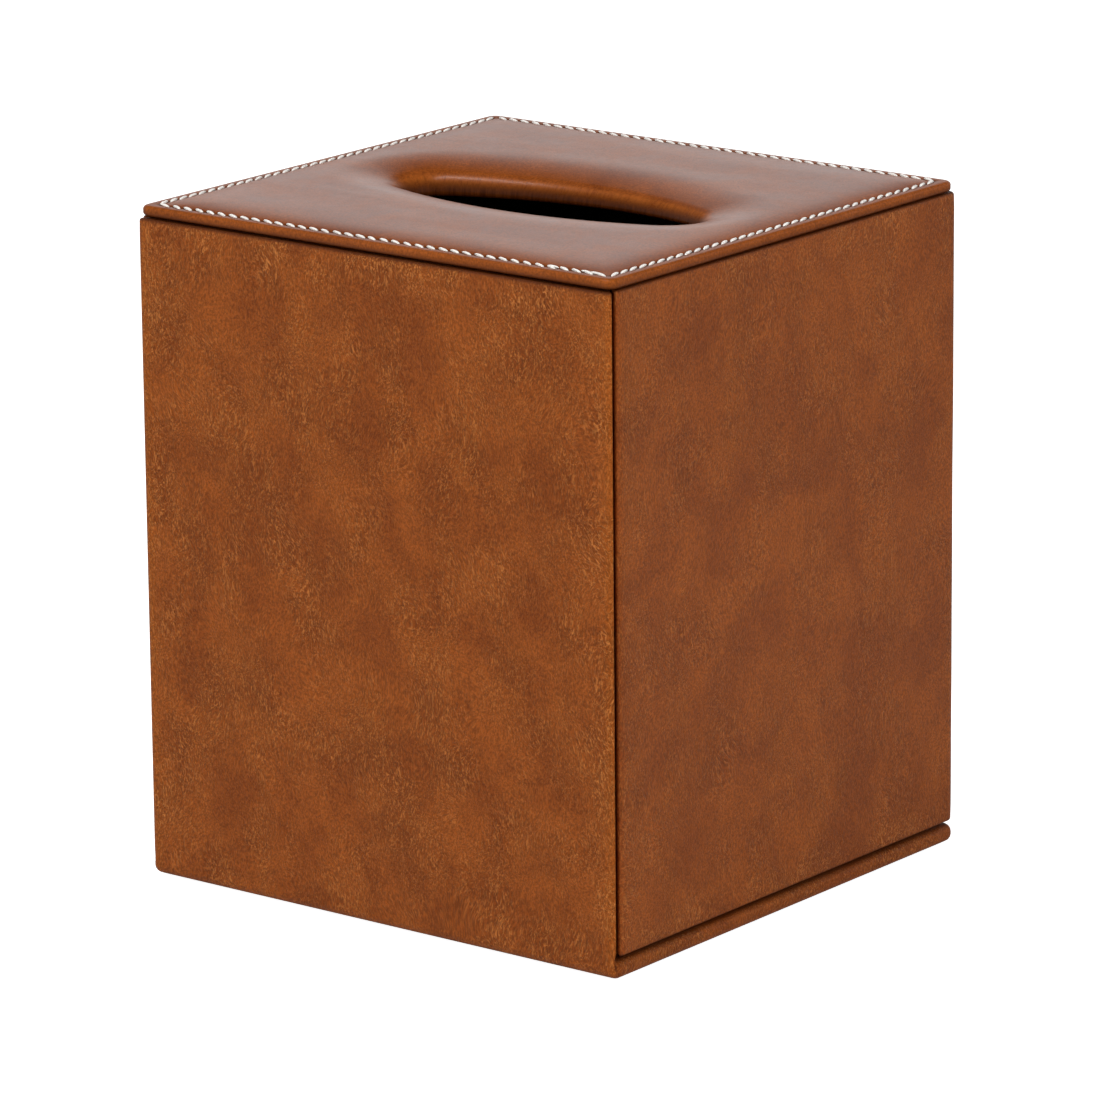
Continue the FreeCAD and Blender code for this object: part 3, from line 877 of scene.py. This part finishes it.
def stitchSide(bm, ply, rng, side):
    count = stitchCount(side)
    for k in range(count):
        start, end = [Vector((*rimPoint(("side", side, at / count), lid["row"]), 0.0)) for at in (k, k + 1)]
        middle, along = (start + end) / 2, (end - start).normalized()
        slant = stitching["slant"][side % 2]
        lean = Vector((0.0, slant * along.x, 0.0) if side % 2 else (slant * along.y, 0.0, 0.0))
        reach = (along + lean * rng.uniform(*stitching["leans"])).normalized() * stitching["length"] / 2
        middle += Vector((rng.uniform(*stitching["moves"]), rng.uniform(*stitching["moves"]), 0.0))
        top = lid["rimTop"] - lid["rowDip"] + stitching["lift"] + rng.uniform(*stitching["lifts"])
        width = stitching["width"] * rng.uniform(*stitching["widths"])
        addStitch(bm, ply, middle - reach, middle + reach, top, width)


def buildStitching():
    rng = random.Random(stitching["seed"])
    bm = bmesh.new()
    ply = bm.verts.layers.float_vector.new("ply")
    for side in range(4):
        stitchSide(bm, ply, rng, side)
    row = -lid["halfY"] + lid["row"]
    top, width = lid["rimTop"] + stitching["doubleLift"], stitching["width"] * stitching["doubleWidth"]
    for x, inside, slant in stitching["doubles"]:
        middle = Vector((x, row + inside, 0.0))
        reach = Vector((1.0, slant, 0.0)).normalized() * stitching["length"] * stitching["doubleReach"]
        addStitch(bm, ply, middle - reach, middle + reach, top, width)
    stitches = putMesh("rim_stitching", bm)
    stitches.data.materials.append(looks["thread"])
    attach(stitches, "shell")


buildLidLeather()
buildFoam()
buildStitching()
print("lid is covered and stitched")


def cutEvery(bm, axis, low, high, cell, extra):
    # cuts every face at regular planes across one axis, so that the skin can be shaped
    count = max(int(round((high - low) / cell)), 1)
    planes = [low + (high - low) * k / count for k in range(1, count)] + list(extra)
    normal = Vector([1.0 if k == axis else 0.0 for k in range(3)])
    for at in planes:
        geom = bm.verts[:] + bm.edges[:] + bm.faces[:]
        bmesh.ops.bisect_plane(bm, geom=geom, dist=close["vertex"], plane_co=normal * at, plane_no=normal)


def isUpright(a, b):
    return max(abs(a.x - b.x), abs(a.y - b.y)) < close["vertex"]


def isLevel(a, b, z):
    return max(abs(a.z - z), abs(b.z - z)) < close["vertex"]


def roundEdges(bm, test, offset, segments):
    # rounds the edges whose two ends pass the test
    edges = [edge for edge in bm.edges if test(edge.verts[0].co, edge.verts[1].co)]
    bmesh.ops.bevel(bm, geom=edges, offset=offset, offset_type="OFFSET", segments=segments,
                    profile=0.5, affect="EDGES", clamp_overlap=False, material=-1)


def raiseFaces(bm, faces, height, keep):
    raised = bmesh.ops.extrude_face_region(bm, geom=faces, use_keep_orig=keep)
    verts = [part for part in raised["geom"] if isinstance(part, bmesh.types.BMVert)]
    bmesh.ops.translate(bm, verts=verts, vec=(0, 0, height))


def facesWhere(bm, test):
    return [face for face in bm.faces if test(face.calc_center_median())]


def finishSkin(bm, name, look, thickness, shape):
    # shape gives each vertex its place, in millimetres, and how near a groove, a seam and a hem it is
    bm.normal_update()
    edge = bm.verts.layers.float_vector.new("edge")
    shaped = [(vert, *shape(vert.co.copy(), vert.normal.copy())) for vert in bm.verts]
    for vert, place, near in shaped:
        vert.co = place * mm
        vert[edge] = Vector(near)
    skin = putMesh(name, bm)
    thicken(skin, thickness)
    skin.data.materials.append(looks[look])
    return skin


wall = {
    # millimetres, measured on the leather
    "halfX": 65.0, "halfY": 62.5, "bottom": 5.6, "top": 149.8, "thick": 4.2, "leather": 0.6, "hem": 12.0,
    "mitreGap": 0.4, "tipReach": 2.6, "cornerRound": 2.0, "cornerSteps": 5, "rimRound": 0.75, "rimSteps": 4,
    "cell": 4.0, "rimCuts": (2.0, 3.6), "tipCut": 4.2, "backCut": 3.2, "outside": 2.0,
    "wave": 0.05, "waveSize": 19.0, "calm": (2.0, 6.0), "sag": 0.10, "sagReach": 2.2, "tipSag": (2.2, 1.5),
    # how far the painted groove shade, the seam tint and the gathers reach, and where they begin
    "groove": 0.5, "seam": (1.8, 0.6), "gather": (4.0, 3.0), "gatherShare": 0.7,
}


def buildWallLeather():
    halfX, halfY, bottom, top = [wall[name] for name in ("halfX", "halfY", "bottom", "top")]
    inX, inY = halfX - wall["thick"], halfY - wall["thick"]
    mitre = halfX - halfY + wall["mitreGap"] * math.sqrt(2)
    tipY = mitre - halfX
    right = [(halfX, tipY), (halfX, halfY)]
    innerRight = [(inX, inY), (inX, mitre - inX)]
    plan = right + [(-x, y) for x, y in reversed(right)] + [(-x, y) for x, y in reversed(innerRight)]
    bm = bmesh.new()
    foot = bm.faces.new([bm.verts.new((x, y, bottom)) for x, y in plan + innerRight])
    raiseFaces(bm, [foot], top - bottom, True)
    bmesh.ops.recalc_face_normals(bm, faces=bm.faces)

    def isOuterPost(a, b):
        return isUpright(a, b) and abs(a.x) > inX + close["wall"]

    roundEdges(bm, lambda a, b: isOuterPost(a, b) and a.y > inY + close["wall"],
               wall["cornerRound"], wall["cornerSteps"])
    roundEdges(bm, lambda a, b: isOuterPost(a, b) and a.y < -inY, wall["tipReach"], wall["cornerSteps"])
    roundEdges(bm, lambda a, b: isLevel(a, b, bottom) or isLevel(a, b, top),
               wall["rimRound"], wall["rimSteps"])
    low, high = bottom + wall["hem"], top - wall["hem"]
    front = -halfY + wall["thick"] + wall["hem"]
    levels = [at for k in (wall["hem"], *wall["rimCuts"]) for at in (bottom + k, top - k)]
    depths = (front, tipY + wall["tipCut"], halfY - wall["backCut"])
    cutEvery(bm, 2, bottom, top, wall["cell"], levels)
    cutEvery(bm, 0, -halfX, halfX, wall["cell"], ())
    cutEvery(bm, 1, -halfY, halfY, wall["cell"], depths)

    def isBare(at):
        # inside the walls the leather ends at its hems
        beside = abs(abs(at.x) - inX) < close["face"] and at.y > front
        behind = abs(at.y - inY) < close["face"] and abs(at.x) < inX
        return (beside or behind) and low < at.z < high

    bmesh.ops.delete(bm, geom=facesWhere(bm, isBare), context="FACES")

    def shape(co, normal):
        rim = min(co.z - bottom, top - co.z)
        tip = co.y - tipY if abs(co.x) > inX else math.inf
        gathers = wall["gatherShare"] * fade(rim, *wall["gather"])
        # the groove's nearness paints shade into the colour at the rims
        near = (fade(rim, wall["groove"]), fade(tip, *wall["seam"]), gathers)
        if abs(co.x) <= inX + wall["outside"] and co.y <= inY + wall["outside"]:
            return co, near
        wave = noise.noise(co / wall["waveSize"]) * wall["wave"] * ramp(rim, *wall["calm"])
        sag = max(fade(rim, wall["sagReach"]), fade(tip, *wall["tipSag"]))
        return co - normal * (wall["sag"] * sag + wall["wave"] - wave), near

    skin = finishSkin(bm, "wall_leather", "wallLeather", wall["leather"], shape)
    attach(skin, "shell")
    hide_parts("wall_cover")


drawer = {
    # millimetres, measured on the leather
    "halfX": 65.0, "halfY": 62.5, "bottom": 0.8, "plateTop": 5.0, "top": 149.35, "thick": 4.2,
    "leather": 0.6, "hem": 12.0, "cornerRound": 2.0, "cornerSteps": 8,
    "plateRound": 1.85, "topRound": 0.75, "rimSteps": 4, "postMargin": 5.0, "backMargin": 2.5,
    "cell": 4.0, "topCuts": (2.2, 3.8), "plateCuts": (1.0, 2.2), "sideCuts": (2.6, 4.4),
    "slitFoot": 2.3, "slitDepth": 0.22, "slitWidth": 0.25,  # the pinch at the foot of the corner slit
    "wave": 0.05, "waveSize": 21.0, "calm": (2.0, 6.0), "sag": 0.07, "sagReach": 2.2,
    # how far the painted groove shade, the seam tint and the gathers reach, and where they begin
    "groove": 0.5, "seam": (1.7, 1.4), "topGather": (4.5, 3.0), "sideGather": (5.0, 3.0), "sideShare": 0.7,
}


def drawerBlock(inX, inY):
    # the base plate, with the front raised on it between two mitres
    halfX, halfY, plateTop = drawer["halfX"], drawer["halfY"], drawer["plateTop"]
    bm = bmesh.new()
    bmesh.ops.create_cube(bm, size=1.0)
    bmesh.ops.scale(bm, verts=bm.verts, vec=(2 * halfX, 2 * halfY, plateTop - drawer["bottom"]))
    bmesh.ops.translate(bm, verts=bm.verts, vec=(0, 0, (plateTop + drawer["bottom"]) / 2))
    roundEdges(bm, isUpright, drawer["cornerRound"], drawer["cornerSteps"])

    def cutTop(point, normal, end):
        # cuts the faces on top of the plate, up to a y
        faces = [face for face in bm.faces if face.calc_center_median().y < end
                 and all(abs(vert.co.z - plateTop) < close["vertex"] for vert in face.verts)]
        parts = {part for face in faces for part in (face, *face.edges, *face.verts)}
        bmesh.ops.bisect_plane(bm, geom=list(parts), dist=close["face"], plane_co=point, plane_no=normal)

    cutTop((0, inY, 0), (0, 1, 0), halfY)
    for side in (-1, 1):
        cutTop((side * halfX, -halfY, 0), (side, 1, 0), inY)
    strip = facesWhere(bm, lambda at: abs(at.z - plateTop) < close["vertex"] and at.y < inY
                       and abs(at.x) < inX - drawer["postMargin"])
    raiseFaces(bm, strip, drawer["top"] - plateTop, False)
    bmesh.ops.delete(bm, geom=[face for face in strip if face.is_valid], context="FACES")
    bmesh.ops.recalc_face_normals(bm, faces=bm.faces)
    return bm


def buildDrawerLeather():
    halfX, halfY = drawer["halfX"], drawer["halfY"]
    top, plateTop, hem = drawer["top"], drawer["plateTop"], drawer["hem"]
    inX, inY = halfX - drawer["thick"], -halfY + drawer["thick"]
    inward = drawer["cornerRound"] * (1 - math.sqrt(0.5))
    lipX, lipY = halfX - inward, -halfY + inward  # where the corner's round meets the mitre
    faceEnd = lipY + close["edge"]
    bm = drawerBlock(inX, inY)

    def isPlateEdge(a, b):
        at = (a + b) / 2
        onMitre = abs(abs(at.x) + at.y - halfX + halfY) <= close["mitre"]
        beside = abs(at.x) > inX + close["wall"] and at.y > faceEnd and not onMitre
        upper = isLevel(a, b, plateTop) and (beside or at.y > halfY - drawer["backMargin"])
        return isLevel(a, b, drawer["bottom"]) or upper

    def isFaceTop(a, b):
        at = (a + b) / 2
        return isLevel(a, b, top) and at.y < faceEnd and abs(at.x) < lipX

    roundEdges(bm, isPlateEdge, drawer["plateRound"], drawer["rimSteps"])
    roundEdges(bm, isFaceTop, drawer["topRound"], drawer["rimSteps"])
    levels = [top - k for k in (hem, *drawer["topCuts"])] + [plateTop - k for k in drawer["plateCuts"]]
    insets = (hem, *drawer["sideCuts"], drawer["thick"] + hem)
    cutEvery(bm, 2, plateTop, top, drawer["cell"], levels)
    cutEvery(bm, 0, -halfX, halfX, drawer["cell"], [halfX - k for k in insets] + [k - halfX for k in insets])
    cutEvery(bm, 1, -halfY, halfY, drawer["cell"], (halfY - hem,))

    def isBare(at):
        # behind the front and on the plate the leather ends at its hems
        across = abs(at.x) + hem
        behind = abs(at.y - inY) < close["face"] and across < inX and at.z < top - hem
        above = abs(at.z - plateTop) < close["face"] and across < halfX and inY < at.y < halfY - hem
        return behind or above

    bmesh.ops.delete(bm, geom=facesWhere(bm, isBare), context="FACES")

    def shape(co, normal):
        rim, tip = top - co.z, halfX - abs(co.x)
        atSlit = fade(math.hypot(abs(co.x) - lipX, co.y - lipY), drawer["slitWidth"]) > 0.5
        # the slit is pinched in and painted with the full groove shade
        if atSlit and plateTop - drawer["slitFoot"] < co.z <= plateTop + close["edge"]:
            out = Vector((math.copysign(1.0, co.x), -1.0, 0.0)).normalized()
            return co - out * drawer["slitDepth"], (1.0, 0.0, 0.0)
        # behind the front the skin keeps its place and is only painted with groove shade near the plate
        if co.y >= faceEnd:
            return co, (fade(plateTop - co.z, drawer["groove"]), 0.0, 0.0)
        gathers = max(fade(rim, *drawer["topGather"]), drawer["sideShare"] * fade(tip, *drawer["sideGather"]))
        # painted groove shade under the lid, the seam tint and the gathers
        near = (fade(rim, drawer["groove"]), fade(tip, *drawer["seam"]), gathers)
        calm = ramp(min(rim, tip), *drawer["calm"])
        wave = noise.noise(co / drawer["waveSize"]) * drawer["wave"] * calm
        sag = drawer["sag"] * fade(rim, drawer["sagReach"])
        return co - normal * (sag + (drawer["wave"] - wave) * calm), near

    skin = finishSkin(bm, "drawer_leather", "frontLeather", drawer["leather"], shape)
    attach(skin, "drawer")
    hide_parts("drawer_cover")


buildWallLeather()
buildDrawerLeather()
print("walls and drawer are covered")
